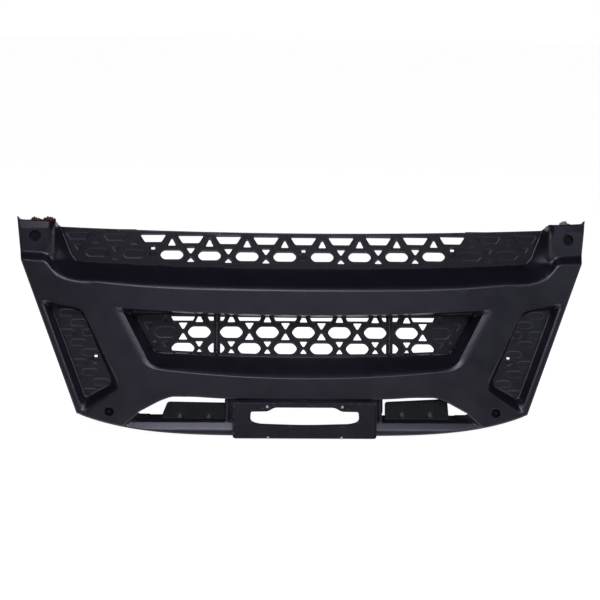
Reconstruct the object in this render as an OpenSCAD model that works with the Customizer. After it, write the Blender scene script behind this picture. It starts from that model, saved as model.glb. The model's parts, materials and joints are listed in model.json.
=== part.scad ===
// Front grille of a cab-over truck: a moulded panel with mesh inserts, a number plate
// bracket, step plates, and the steel carrier that hangs it from two hinges on the cab.
// Frame: +Z up, the front faces -Y, X is symmetric. The origin lies on the cab's face,
// midway between the two hinge bases, at the height of the hinge axis.
// Panel shapes use panel coordinates: x across, z up along the leaning panel, and
// depth d behind the bowed front face.

/* [Panel] */
// Radius of the bow of the face, seen from above
bow_r = 5000; // [4500:100:6500]
// Lean of the panel, top towards the cab, in degrees
lean = 11; // [8:1:13]
// Wall thickness of the moulding
wall = 3.5; // [3:0.5:4]
// Depth of the upper mesh behind the face
upper_d = 85; // [80:1:88]
// Depth of the lower mesh behind the face
lower_d = 65; // [60:1:68]
// Depth of the side inserts behind the face
side_d = 35; // [30:1:38]

/* [Mesh] */
// Thickness of every mesh insert
mesh_t = 3; // [2.5:0.5:4]
// Distance between neighbouring cells of the upper mesh
upper_pitch = 137; // [134:1:138]
// Distance between neighbouring cells of the lower mesh
lower_pitch = 131; // [128:1:132]

/* [Number plate bracket] */
// Width of the bracket
bracket_w = 516; // [510:2:524]
// Height of the bracket
bracket_h = 129; // [124:1:132]
// How far its front stands in front of the face
bracket_out = 45; // [35:1:55]

/* [Hinges] */
// Distance of each hinge from the middle
hinge_x = 650; // [640:1:655]
// Diameter of the hinge pins
pin_d = 12; // [10:0.5:14]
// Distance of the hinge axis from the cab's face
hinge_out = 55; // [50:1:70]
// Vertical distance between the two bolts of one hinge base
base_bolt_pitch = 70; // [60:1:80]

/* [Hidden] */
$fn = 48;
bow_fn = 720;

// Hinge axis in panel coordinates
axis_y = 182;
axis_z = 200;
panel_at = [
  0,
  -hinge_out - axis_y * cos(lean) - axis_z * sin(lean),
  axis_y * sin(lean) - axis_z * cos(lean)
];

// Bolts that hold the panel on its carrier: x, z and the face's y there
bolt_places = [[978, 235, 121], [702, -405, 50]];
cup_d = 32;
cup_depth = 18;

// Carrier, in panel coordinates
rail_half = 676;
rail_t = 2.5;
upper_rail_at = [70, -15];
lower_rail_at = [75, -340];
rail_size = [25, 38];
arm_t = 6;
strap_y = 176;
foot_y = 116;
flange_bolt_x = [628, 668];

// Screws of the inserts: distance below the top edge, and places at x and z
upper_screw_drop = 86;
lower_screw_places = [[597, -60], [540, -164]];
side_screw_place = [752, -217];
screw_hole = 6.4;

// Colours
moulded = [0.16, 0.16, 0.19];
meshed = [0.13, 0.13, 0.15];
plate_green = [0.12, 0.14, 0.14];
steel = [0.55, 0.56, 0.58];
painted = [0.20, 0.21, 0.22];
rubber = [0.07, 0.07, 0.07];
foam = [0.36, 0.22, 0.14];

// ---- Shape of the panel ----
function smooth(t) = let (c = max(0, min(1, t))) c * c * (3 - 2 * c);
// Half width of the outline at a height
function side_x(z) = lookup(z, [[-412, 820], [145, 1028], [306, 1045]]);
// Top edge between the corner blocks
function top_z(x) = 248 + 24 * pow(x / 887, 2);
// Lower edge of the upper mesh
function upper_low_z(x) = 116 + 26 * pow(x / 820, 2);
// Ridge along the top of the front face
function ridge_z(x) = 31 + 28 * pow(abs(x) / 754, 2.4) + 58 * smooth((abs(x) - 838) / 100);
// Bottom edge of the panel
function bottom_z(x) = -490 + 78 * pow(abs(x) / 820, 4.2);
// Front edges of the lower recess
function recess_top_z(x) = -54 + 24 * pow(x / 682, 2);
function recess_low_z(x) = -285 + 32 * pow(x / 538, 2);
// Lower edge of the lower mesh
function lower_low_z(x) = -204 + 16 * pow(x / 538, 2);
// Point of the panel at x, z and depth d
function at(x, z, d) = [x, bow_r - sqrt(pow(bow_r - d, 2) - x * x), z];

// Puts panel coordinates into the frame
module in_panel() {
  translate(panel_at) rotate([-lean, 0, 0]) children();
}

// Bowed layer of material between two depths
module layer(d0, d1) {
  translate([0, bow_r, -600])
    difference() {
      cylinder(r = bow_r - d0, h = 1200, $fn = bow_fn);
      translate([0, 0, -1]) cylinder(r = bow_r - d1, h = 1202, $fn = bow_fn);
    }
}

// Bowed plate cut to the 2D children, drawn in x and z
module bowed_plate(d0, d1) {
  intersection() {
    layer(d0, d1);
    translate([0, 400, 0]) rotate([90, 0, 0]) linear_extrude(500) children();
  }
}

// Solid through a row of sections, each with the same number of points
module loft(sections) {
  n = len(sections[0]);
  last = len(sections) - 1;
  points = [for (s = sections) each s];
  sides = [
    for (i = [0:last - 1], k = [0:n - 1])
      let (a = i * n + k, b = i * n + (k + 1) % n)
        each [[a, b + n, b], [a, a + n, b + n]]
  ];
  caps = [[for (k = [0:n - 1]) k], [for (k = [n - 1:-1:0]) last * n + k]];
  polyhedron(points = points, faces = concat(sides, caps), convexity = 6);
}

// ---- Main panel ----
mesh_cols = 14;
block_cols = 3;
// Rows of the fascia from the top down. Each row holds, for the middle part, its half
// width and depth, and for the corner blocks, the inner x and the depth.
upper_rows = [
  [887, upper_d + mesh_t, 903, 45],
  [893, upper_d + mesh_t, 907, 25],
  [845, upper_d + mesh_t, 920, 25],
  [818, upper_d + mesh_t, 927, 25],
  [845, 26, 930, 14],
  [862, 5, 934, 4],
  [866, 0, 938, 0]
];
lower_levels = [-40, -130, -220, -310, -395];
last_row = len(upper_rows) + len(lower_levels);

function mid_z(row, x) =
  row == 0 ? top_z(x)
  : row == 1 ? top_z(x) - 10
  : row == 2 ? upper_low_z(x) + 24
  : row == 3 ? upper_low_z(x)
  : row == 4 ? ridge_z(x) + 30
  : row == 5 ? ridge_z(x) + 4
  : ridge_z(x) - 14;
function block_z(row, x) =
  row == 0 ? 290 + 15 * pow(max(0, x - 903) / 142, 3)
  : row == 1 ? 262
  : row == 2 ? 172
  : row == 3 ? ridge_z(x) + 14
  : row == 4 ? ridge_z(x) + 4
  : row == 5 ? ridge_z(x) - 6
  : ridge_z(x) - 22;
row_heights = [300, 262, 172, 152, 148, 142, 126];

// Front point [x, z, d] of a row, at column c from 0 in the middle to the side edge
function upper_point(row, c) =
  let (r = upper_rows[row])
    c <= mesh_cols
    ? let (x = r[0] * c / mesh_cols) [x, mid_z(row, x), r[1]]
    : let (
        f = (c - mesh_cols - 1) / (block_cols - 1),
        x = r[2] + f * (side_x(row_heights[row]) - r[2])
      ) [x, block_z(row, x), r[3]];
function lower_point(row, c) =
  let (
    z = row < last_row ? lower_levels[row - len(upper_rows)] : -412,
    f = c / (mesh_cols + block_cols),
    x = f * side_x(z)
  ) [x, row < last_row ? z : bottom_z(x), 0];
function front_point(row, c) =
  let (
    a = abs(c),
    p = row < len(upper_rows) ? upper_point(row, a) : lower_point(row, a)
  ) [c < 0 ? -p[0] : p[0], p[1], p[2]];

// Upper recess, corner blocks and front face in one bowed skin
module fascia() {
  half = mesh_cols + block_cols;
  n = 2 * half + 1;
  rows = last_row + 1;
  // the skin is measured along the depth, so sloping rows are thicker there
  function back(row) = row == 3 || row == 4 ? wall * 1.5 : wall;
  front = [for (j = [0:rows - 1], c = [-half:half]) let (p = front_point(j, c)) at(p[0], p[1], p[2])];
  // the end walls of the upper recess are steep, so their back is moved sideways as well
  end_wall = 3;
  function outward(row, c) =
    row < 4 && (abs(c) == mesh_cols || abs(c) == mesh_cols + 1) ? sign(c) * end_wall : 0;
  rear = [
    for (j = [0:rows - 1], c = [-half:half])
      let (p = front_point(j, c)) at(p[0] + outward(j, c), p[1], p[2] + back(j))
  ];
  m = n * rows;
  skin = [
    for (j = [0:rows - 2], i = [0:n - 2])
      let (a = j * n + i, b = a + 1, c = a + n, d = c + 1)
        each [[a, b, d], [a, d, c], [m + a, m + d, m + b], [m + a, m + c, m + d]]
  ];
  ends = [
    for (j = [0:rows - 2])
      let (a = j * n, c = a + n, b = a + n - 1, d = c + n - 1)
        each [[a, c, m + c], [a, m + c, m + a], [b, m + d, d], [b, m + b, m + d]]
  ];
  edges = [
    for (i = [0:n - 2])
      let (a = i, b = i + 1, c = (rows - 1) * n + i, d = c + 1)
        each [[a, m + b, b], [a, m + a, m + b], [c, d, m + d], [c, m + d, m + c]]
  ];
  polyhedron(points = concat(front, rear), faces = concat(skin, ends, edges), convexity = 8);
}

// Lower recess as a solid, grown by g and from depth d0 to d1
module lower_well(g, d0, d1) {
  cols = 8;
  function section(x_top, x_low, xb_top, xb_low, cut) = [
    at(x_top, recess_top_z(x_top) + g, d0),
    at(x_low, recess_low_z(min(abs(x_low), 538)) - g + cut * 28, d0),
    at(xb_low, lower_low_z(xb_low) - g + cut * 14, d1),
    at(xb_top, -46 + g, d1)
  ];
  middle = [
    for (c = [-cols:cols])
      let (f = c / cols) section(f * 662, f * 538, f * 612, f * 532, 0)
  ];
  left = section(-682 - g, -578 - g, -625 - g, -552 - g, 1);
  right = section(682 + g, 578 + g, 625 + g, 552 + g, 1);
  loft(concat([left], middle, [right]));
}

// Side recess on the right as a solid, grown by g and from depth d0 to d1
side_front = [[946, -7], [832, -26], [803, -37], [674, -296], [676, -322], [786, -396], [799, -397]];
side_floor = [[921, -13], [820, -28], [797, -46], [689, -291], [693, -308], [776, -352], [792, -352]];
side_middle = [800, -200];
function grown(p, g) = let (v = p - side_middle) p + v * g / norm(v);
module side_well(g, d0, d1) {
  front = [for (p = side_front) let (q = grown(p, g)) at(q[0], q[1], d0)];
  floor = [for (p = side_floor) let (q = grown(p, g)) at(q[0], q[1], d1)];
  hull() polyhedron_of(concat(front, floor));
}
// Smallest solid that hull() can take the points from
module polyhedron_of(points) {
  polyhedron(points = points, faces = [[for (i = [0:len(points) - 1]) i]]);
}

// Outline of one step opening, carried down behind the bar and across the middle
module step_opening() {
  polygon([
    [-10, -357], [284, -357], [400, -351], [476, -351], [518, -366],
    [556, -386], [596, -408], [599, -416], [588, -440], [562, -468], [-10, -468]
  ]);
}

// Bar below the step openings: a sloping shelf that ends inside the skin of the face
module lower_bar() {
  ends = 655;
  cols = 8;
  // depth of the edge between the chamfer and the shelf, and of the back of the shelf
  edge_d = 16;
  shelf_d = 56;
  loft([
    for (c = [-cols:cols])
      let (x = ends * c / cols, lift = 12 * smooth((abs(x) - 560) / 90))
        [
          at(x, -413 - lift, shelf_d), at(x, -441 - lift, edge_d), at(x, -466, 0.5), at(x, -474, 1),
          at(x, -474, wall - 0.7), at(x, -467, wall + 0.7), at(x, -443.5 - lift, edge_d + 2.6),
          at(x, -416 - lift, shelf_d + 2)
        ]
  ]);
}

// Set-back web behind the number plate bracket
web_d = 20;
module plate_web() {
  difference() {
    bowed_plate(1, web_d + wall) translate([-290, -470]) square([580, 116.5]);
    bowed_plate(0, web_d) translate([-286.5, -480]) square([573, 123]);
  }
}
// Window through the web and the bar, behind the slot of the bracket
module web_window() translate([-212, -1, -456]) cube([424, 90, 72]);

// Cylinders at the carrier bolts, from y0 to y1 behind the face at each bolt
module bolt_cups(d, y0, y1) {
  for (b = bolt_places, s = [-1, 1])
    translate([s * b[0], b[2] + y1, b[1]]) rotate([90, 0, 0]) cylinder(d = d, h = y1 - y0, $fn = 24);
}

module main_panel() color(moulded) resize([0, 0, 0]) in_panel() {
  difference() {
    union() {
      fascia();
      lower_well(wall, wall / 2, lower_d + mesh_t + wall);
      for (m = [0, 1]) mirror([m, 0, 0]) side_well(2 * wall, 0, side_d + mesh_t + wall);
      bolt_cups(cup_d + 2 * wall, 1, cup_depth + wall);
    }
    bolt_cups(cup_d, -60, cup_depth);
    bolt_cups(11, -60, 200);
    lower_well(0, -1, lower_d + mesh_t);
    for (m = [0, 1]) mirror([m, 0, 0]) side_well(0, -5, side_d + mesh_t);
    // windows behind the mesh inserts
    translate([0, 300, 0]) rotate([90, 0, 0]) linear_extrude(400) {
      polygon([
        for (x = [-605:55:605]) [x, upper_low_z(x) + 10],
        for (x = [605:-55:-605]) [x, top_z(x) - 10]
      ]);
      polygon([
        for (x = [-500:50:500]) [x, lower_low_z(x) + 10],
        for (x = [500:-50:-500]) [x, -55]
      ]);
      for (s = [0, 1]) mirror([s, 0]) {
        step_opening();
        for (p = lower_screw_places) translate(p) circle(d = screw_hole);
        translate(side_screw_place) circle(d = screw_hole);
        translate(side_screw_place + [-6, 10]) square([12, 7]);
      }
    }
  }
  difference() {
    union() {
      lower_bar();
      plate_web();
    }
    web_window();
  }
}

// ---- Mesh inserts ----
// Cell outlines, centred in x on 0, with z measured from the row
module trapezium_cell() polygon([[-46, 12.5], [46, 12.5], [30, -12.5], [-30, -12.5]]);
module triangle_cell(w, h) polygon([[-w / 2, -h / 2], [w / 2, -h / 2], [2, h / 2], [-2, h / 2]]);
module hexagon_cell(w, h) {
  s = h * 0.42;
  polygon([
    [-w / 2, 0], [-w / 2 + s, h / 2], [w / 2 - s, h / 2],
    [w / 2, 0], [w / 2 - s, -h / 2], [-w / 2 + s, -h / 2]
  ]);
}

module upper_mesh() color(meshed) in_panel() bowed_plate(upper_d, upper_d + mesh_t - 0.3) {
  difference() {
    polygon([
      for (x = [-818:818 / 14:818]) [x, upper_low_z(x) + 1],
      [842, 165], [884, top_z(884) - 4],
      for (x = [878:-878 / 14:-878]) [x, top_z(x)],
      [-884, top_z(884) - 4], [-842, 165]
    ]);
    for (k = [-4:4]) {
      x = k * upper_pitch;
      translate([x, top_z(x) - 30]) trapezium_cell();
      if (k % 4 != 0) {
        translate([x, top_z(x) - 71]) mirror([0, 1]) triangle_cell(30, 18);
        translate([x, top_z(x) - 105]) triangle_cell(27, 12);
      } else {
        translate([x - 7, top_z(x) - 70]) square([14, 8]);
        translate([x, top_z(x) - upper_screw_drop]) circle(d = screw_hole);
      }
    }
    for (k = [-3.5:3.5]) {
      x = k * upper_pitch;
      translate([x, top_z(x) - 42]) triangle_cell(28, 23);
      translate([x, top_z(x) - 88]) hexagon_cell(88, 31);
    }
  }
}

// Cells of the lower mesh around the column x
module lower_column_a(x) {
  translate([x, -66]) triangle_cell(28, 24);
  translate([x, -115]) hexagon_cell(88, 40);
  translate([x, -185]) triangle_cell(24, 14);
  translate([x, -158]) mirror([0, 1]) triangle_cell(28, 18);
}
module lower_column_b(x) {
  translate([x, -62]) polygon([[-46, 12], [46, 12], [36, -11], [-36, -11]]);
  translate([x, -92]) mirror([0, 1]) triangle_cell(32, 22);
  translate([x, -131]) triangle_cell(32, 22);
  translate([x, -174]) hexagon_cell(88, 38);
}

// One segment of the lower mesh between x0 and x1, with its cells as children
seam_x = 314;
seam_band = 12.5; // closed band beside each seam
module lower_segment(x0, x1) color(meshed) in_panel() bowed_plate(lower_d, lower_d + mesh_t - 0.3) {
  difference() {
    intersection() {
      polygon([
        for (x = [-530:53:530]) [x, lower_low_z(x) + 1],
        [551, -171], [620, -50], [618, -47], [-618, -47], [-620, -50], [-551, -171]
      ]);
      translate([x0, -300]) square([x1 - x0, 300]);
    }
    intersection() {
      children();
      translate([x0 + seam_band, -300]) square([x1 - x0 - 2 * seam_band, 300]);
    }
    for (s = [-1, 1], p = lower_screw_places) translate([s * p[0], p[1]]) circle(d = screw_hole);
  }
}
module lower_mesh_centre() lower_segment(-seam_x + 0.5, seam_x - 0.5) {
  for (k = [-2:2]) lower_column_a(k * lower_pitch);
  for (k = [-2.5:2.5]) lower_column_b(k * lower_pitch);
}
module lower_mesh_right() lower_segment(seam_x + 0.5, 640) {
  lower_column_a(378);
  lower_column_b(437);
  lower_column_b(305);
}
module lower_mesh_left() lower_segment(-640, -seam_x - 0.5) {
  lower_column_a(-378);
  lower_column_b(-437);
  lower_column_b(-305);
}

// Closed insert of one side recess
module side_insert(s) color(meshed) in_panel() bowed_plate(side_d, side_d + mesh_t - 0.3) {
  scale([s, 1]) difference() {
    polygon([
      [915, -18], [824, -32], [799, -51], [693, -290], [696, -306], [776, -348],
      [788, -348], [794, -332], [913, -26]
    ]);
    translate(side_screw_place) circle(d = screw_hole);
    translate(side_screw_place + [-6, 10]) square([12, 7]);
  }
}
module side_insert_left() side_insert(-1);
module side_insert_right() side_insert(1);

// ---- Step plates behind the two openings ----
// Each plate has its own outline and rivets, with x measured outwards.
step_plate_d = 26;
step_plate_t = 3.5;
step_plate_low = -430.5;
left_plate = [
  [276, step_plate_low], [276, -376], [282, -370.5], [486, -367.5],
  [493, -371.5], [511, -416], [514, step_plate_low]
];
right_plate = [
  [294, step_plate_low], [294, -371], [300, -365], [517, -353.5],
  [524, -358], [528, -405], [531, step_plate_low]
];
left_rivets = [[447, -420.5], [343, -421.5]];
right_rivets = [[460, -413], [357, -412]];
module step_plate(s, outline, rivets) color(plate_green) in_panel()
  bowed_plate(step_plate_d, step_plate_d + step_plate_t) scale([s, 1]) difference() {
    polygon(outline);
    for (p = rivets) translate(p) circle(d = 6);
  }
module step_plate_left() step_plate(-1, left_plate, left_rivets);
module step_plate_right() step_plate(1, right_plate, right_rivets);

// y of the bowed surface of depth d at x
function y_at(x, d) = at(x, 0, d)[1];

module step_plate_rivets() color(steel) in_panel() {
  for (side = [[-1, left_rivets], [1, right_rivets]], p = side[1])
    translate([side[0] * p[0], y_at(p[0], step_plate_d) + 8, p[1]]) rotate([90, 0, 0]) {
      cylinder(d = 5.9, h = 12);
      translate([0, 0, 8.8]) cylinder(d = 16, h = 3.7);
      cylinder(d = 11, h = 3);
    }
}

// ---- Number plate bracket ----
bracket_low = -500;
rim_out = 3.5;
plate_holes = [[135, -386], [132, -497]];
module slot_outline() {
  polygon([
    [-190, -404], [-133, -403], [-122, -399], [-108, -390], [-100, -389], [100, -389], [108, -390],
    [122, -399], [133, -403], [190, -404], [195, -408], [195, -430], [186, -440], [165, -446],
    [0, -451], [-165, -446], [-186, -440], [-195, -430], [-195, -408]
  ]);
}
module plate_bracket() color(moulded) in_panel() difference() {
  depth = bracket_out - 3;
  union() {
    difference() {
      translate([-bracket_w / 2, -bracket_out, bracket_low]) cube([bracket_w, depth, bracket_h]);
      translate([-bracket_w / 2 + 3, -bracket_out + 3, bracket_low + 3])
        cube([bracket_w - 6, depth, bracket_h - 6]);
    }
    // raised rim around the front
    difference() {
      translate([-bracket_w / 2, -bracket_out - rim_out, bracket_low])
        cube([bracket_w, rim_out + 1, bracket_h]);
      translate([-bracket_w / 2 + 5, -bracket_out - rim_out - 1, bracket_low + 5])
        cube([bracket_w - 10, rim_out + 3, bracket_h - 10]);
    }
    // legs that reach the web, and bosses for the plate screws
    for (s = [-1, 1]) {
      translate([s * 236 - 9, -bracket_out + 1, -394]) cube([18, bracket_out + 18, 20]);
      for (p = plate_holes)
        translate([s * p[0], -bracket_out + 14, p[1]]) rotate([90, 0, 0]) cylinder(d = 17, h = 14);
    }
  }
  translate([0, 10, 0]) rotate([90, 0, 0]) linear_extrude(80) slot_outline();
  for (s = [-1, 1], p = plate_holes) {
    translate([s * p[0], 0, p[1]]) rotate([90, 0, 0]) cylinder(d = 5, h = 60);
    translate([s * p[0], -bracket_out, p[1]]) rotate([90, 0, 0]) cylinder(d = 10.5, h = 20);
  }
}
module plate_screws() color(steel) in_panel() {
  for (s = [-1, 1], p = plate_holes)
    translate([s * p[0], -bracket_out + 12, p[1]]) rotate([90, 0, 0]) {
      cylinder(d = 4.9, h = 13);
      translate([0, 0, 12.2]) cylinder(d = 9.5, h = 3);
    }
}

// ---- Screws of the inserts ----
// Screw with its head at depth d, at x and z
module insert_screw(x, z, d) {
  translate([x, y_at(x, d) + 14, z]) rotate([90, 0, 0]) {
    cylinder(d = 5.9, h = 16);
    translate([0, 0, 15]) cylinder(d = 12, h = 3);
  }
}
module upper_mesh_screws() color(steel) in_panel() {
  for (k = [-4:4:4])
    insert_screw(k * upper_pitch, top_z(k * upper_pitch) - upper_screw_drop, upper_d);
}
module lower_mesh_screws() color(steel) in_panel() {
  for (s = [-1, 1], p = lower_screw_places) insert_screw(s * p[0], p[1], lower_d);
}
module side_insert_screws() color(steel) in_panel() {
  for (s = [-1, 1]) insert_screw(s * side_screw_place[0], side_screw_place[1], side_d);
}

// ---- Foam pads behind the corner blocks ----
module foam_pad(s) color(foam) in_panel() bowed_plate(53, 78) {
  scale([s, 1]) polygon([
    [906, 254], [1002, 254], [1000, 299], [988, 303], [975, 301], [960, 309], [948, 306],
    [934, 311], [921, 304], [910, 305]
  ]);
}
module foam_pad_left() foam_pad(-1);
module foam_pad_right() foam_pad(1);

// ---- Carrier ----
module rail(at_yz) color(painted) in_panel() difference() {
  translate([-rail_half, at_yz[0], at_yz[1]]) cube([2 * rail_half, rail_size[0], rail_size[1]]);
  translate([-rail_half - 1, at_yz[0] + rail_t, at_yz[1] + rail_t])
    cube([2 * rail_half + 2, rail_size[0] - 2 * rail_t, rail_size[1] - 2 * rail_t]);
  for (s = [-1, 1], x = flange_bolt_x)
    translate([s * x, at_yz[0] + 60, at_yz[1] + rail_size[1] / 2]) rotate([90, 0, 0])
      cylinder(d = 8.4, h = 100);
}
module upper_rail() rail(upper_rail_at);
module lower_rail() rail(lower_rail_at);

// Hat brackets between the back of the moulding and the rails
bracket_places = [180, 480];
module hat_bracket(x, at_yz) {
  front = y_at(x + 16, wall) + 0.6;
  z0 = at_yz[1] + 6;
  translate([x - 16, front, z0]) cube([32, 2.5, 26]);
  translate([x - 16, front, z0]) cube([2.5, at_yz[0] - front, 26]);
  translate([x - 16, at_yz[0] - 2.5, z0]) cube([32, 2.5, 26]);
}
module rail_brackets() color(painted) in_panel() {
  for (x = bracket_places, r = [upper_rail_at, lower_rail_at]) {
    hat_bracket(x, r);
    mirror([1, 0, 0]) hat_bracket(x, r);
  }
}

module arm_profile() {
  polygon([
    [174, 210], [150, 160], [150, 85], [120, 35], [120, -425], [146, -425], [146, 28],
    [176, 78], [176, 150], [191, 190]
  ]);
  translate([upper_rail_at[0] + rail_size[0] + 3, upper_rail_at[1] + 4]) square([30, 30]);
  translate([lower_rail_at[0] + rail_size[0] + 3, lower_rail_at[1] + 4]) square([30, 30]);
}
module arm_flange(at_yz) {
  difference() {
    translate([-30, at_yz[0] + rail_size[0], at_yz[1] + 2]) cube([56, 4, 34]);
    for (x = flange_bolt_x)
      translate([x - hinge_x, at_yz[0] + 60, at_yz[1] + rail_size[1] / 2]) rotate([90, 0, 0])
        cylinder(d = 8.4, h = 100);
  }
}
bush_d = pin_d + 4;
barrel_half = 15;
module hinge_arm(s) color(painted) in_panel() scale([s, 1, 1]) translate([hinge_x, 0, 0]) {
  difference() {
    union() {
      translate([-arm_t / 2, 0, 0]) rotate([90, 0, 90]) linear_extrude(arm_t) arm_profile();
      translate([-barrel_half, axis_y, axis_z]) rotate([0, 90, 0])
        cylinder(d = bush_d + 10, h = 2 * barrel_half);
    }
    translate([-barrel_half - 1, axis_y, axis_z]) rotate([0, 90, 0])
      cylinder(d = bush_d, h = 2 * barrel_half + 2);
  }
  arm_flange(upper_rail_at);
  arm_flange(lower_rail_at);
  // foot with a spacer that carries the lower bolt
  difference() {
    union() {
      translate([-12, foot_y, -430]) cube([90, 4.5, 50]);
      translate([702 - hinge_x, foot_y + 1, -405]) rotate([90, 0, 0]) cylinder(d = 24, h = 44);
    }
    translate([702 - hinge_x, foot_y + 10, -405]) rotate([90, 0, 0]) cylinder(d = 10.5, h = 70);
  }
}
module hinge_arm_left() hinge_arm(-1);
module hinge_arm_right() hinge_arm(1);

module corner_outrigger(s) color(painted) in_panel() scale([s, 1, 1]) difference() {
  union() {
    translate([0, strap_y + 4, 0]) rotate([90, 0, 0]) linear_extrude(4)
      polygon([
        [640, 100], [640, 146], [700, 150], [950, 252], [1000, 252], [1000, 214], [960, 210],
        [710, 105]
      ]);
    translate([978, strap_y + 1, 235]) rotate([90, 0, 0]) cylinder(d = 24, h = 33);
  }
  translate([978, strap_y + 10, 235]) rotate([90, 0, 0]) cylinder(d = 10.5, h = 60);
}
module corner_outrigger_left() corner_outrigger(-1);
module corner_outrigger_right() corner_outrigger(1);

// Flanged bolt along y, with its head at y0 and its nut behind y1
module flange_bolt(d, head, y0, y1) {
  translate([0, y1 + 9, 0]) rotate([90, 0, 0]) cylinder(d = d, h = y1 + 9 - y0);
  translate([0, y0, 0]) rotate([90, 0, 0]) cylinder(d = head, h = 2);
  translate([0, y0 - 1, 0]) rotate([90, 0, 0]) cylinder(d = head * 0.75, h = 6, $fn = 6);
  difference() {
    translate([0, y1 + 7, 0]) rotate([90, 0, 0]) cylinder(d = d * 1.8, h = 7, $fn = 6);
    translate([0, y1 + 8, 0]) rotate([90, 0, 0]) cylinder(d = d - 0.1, h = 9);
  }
}
module carrier_bolts() color(steel) in_panel() {
  for (s = [-1, 1]) {
    translate([s * 978, 0, 235]) flange_bolt(10, 24, 121 + cup_depth, strap_y + 4);
    translate([s * 702, 0, -405]) flange_bolt(10, 24, 50 + cup_depth, foot_y + 4.5);
  }
}
module rail_bolts() color(steel) in_panel() {
  for (s = [-1, 1], x = flange_bolt_x, r = [upper_rail_at, lower_rail_at])
    translate([s * x, 0, r[1] + rail_size[1] / 2]) flange_bolt(8, 17, r[0], r[0] + rail_size[0] + 4);
}

// ---- Hinges ----
bush_clearance = 0.05;
flange_t = 2.5;
module hinge_bushes() color(rubber) translate([0, -hinge_out, 0]) {
  for (s = [-1, 1], e = [0, 1])
    translate([s * hinge_x, 0, 0]) mirror([e, 0, 0]) rotate([0, 90, 0]) difference() {
      union() {
        translate([0, 0, 0.5]) cylinder(d = bush_d, h = barrel_half - 0.5 + flange_t);
        translate([0, 0, barrel_half]) cylinder(d = bush_d + 8, h = flange_t);
      }
      translate([0, 0, -1]) cylinder(d = pin_d + 2 * bush_clearance, h = 30);
    }
}
ear_t = 6;
ear_gap = 2 * (barrel_half + flange_t) + 1;
module hinge_base(s) color(painted) translate([s * hinge_x, 0, 0]) difference() {
  union() {
    translate([-40, -6, -60]) cube([80, 6, 120]);
    for (e = [-1, 1])
      translate([e * (ear_gap + ear_t) / 2 - ear_t / 2, 0, 0]) {
        translate([0, -hinge_out, -17]) cube([ear_t, hinge_out - 3, 34]);
        translate([0, -hinge_out, 0]) rotate([0, 90, 0]) cylinder(d = 34, h = ear_t);
      }
  }
  translate([-50, -hinge_out, 0]) rotate([0, 90, 0]) cylinder(d = pin_d + 0.1, h = 100);
  for (z = [-base_bolt_pitch / 2, base_bolt_pitch / 2])
    translate([0, 10, z]) rotate([90, 0, 0]) cylinder(d = 11, h = 30);
}
module hinge_base_left() hinge_base(-1);
module hinge_base_right() hinge_base(1);
module hinge_pins() color(steel) {
  reach = ear_gap / 2 + ear_t;
  for (s = [-1, 1])
    translate([s * hinge_x, -hinge_out, 0]) mirror([s > 0 ? 0 : 1, 0, 0]) rotate([0, 90, 0]) {
      translate([0, 0, -reach - 4]) cylinder(d = pin_d, h = 2 * reach + 4);
      translate([0, 0, reach]) cylinder(d = pin_d + 8, h = 3.5);
    }
}

// ---- Latch strikers and rubber buffers on the lower rail ----
striker_x = 430;
module latch_strikers() color(steel) in_panel() {
  back = lower_rail_at[0] + rail_size[0];
  z = lower_rail_at[1] + rail_size[1] / 2;
  for (s = [-1, 1]) translate([s * striker_x, back, z]) {
    translate([-35, 0, -14]) cube([70, 4, 28]);
    for (e = [-1, 1]) translate([e * 18, 34, 0]) {
      rotate([90, 0, 0]) cylinder(d = 9, h = 32);
      sphere(d = 9);
    }
    translate([-18, 34, 0]) rotate([0, 90, 0]) cylinder(d = 9, h = 36);
  }
}
buffer_x = 560;
module rubber_buffers() color(rubber) in_panel() {
  back = lower_rail_at[0] + rail_size[0];
  z = lower_rail_at[1] + rail_size[1] / 2;
  for (s = [-1, 1]) translate([s * buffer_x, back, z]) rotate([-90, 0, 0]) {
    cylinder(d = 32, h = 5);
    cylinder(d1 = 28, d2 = 20, h = 24);
  }
}

main_panel();
upper_mesh();
lower_mesh_left();
lower_mesh_centre();
lower_mesh_right();
side_insert_left();
side_insert_right();
plate_bracket();
plate_screws();
step_plate_left();
step_plate_right();
step_plate_rivets();
upper_mesh_screws();
lower_mesh_screws();
side_insert_screws();
carrier_bolts();
foam_pad_left();
foam_pad_right();
upper_rail();
lower_rail();
rail_brackets();
hinge_arm_left();
hinge_arm_right();
corner_outrigger_left();
corner_outrigger_right();
rail_bolts();
hinge_bushes();
hinge_base_left();
hinge_base_right();
hinge_pins();
latch_strikers();
rubber_buffers();
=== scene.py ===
"""Front grille of a cab-over truck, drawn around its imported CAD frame.

Panel coordinates, in millimetres: x across, z up along the leaning panel, and d, the
depth behind the bowed front face. place() turns them into the row frame, in metres.
"""

import json
import math

import bpy
import numpy as np
from mathutils import Matrix, Vector
from mathutils.geometry import delaunay_2d_cdt


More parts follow.
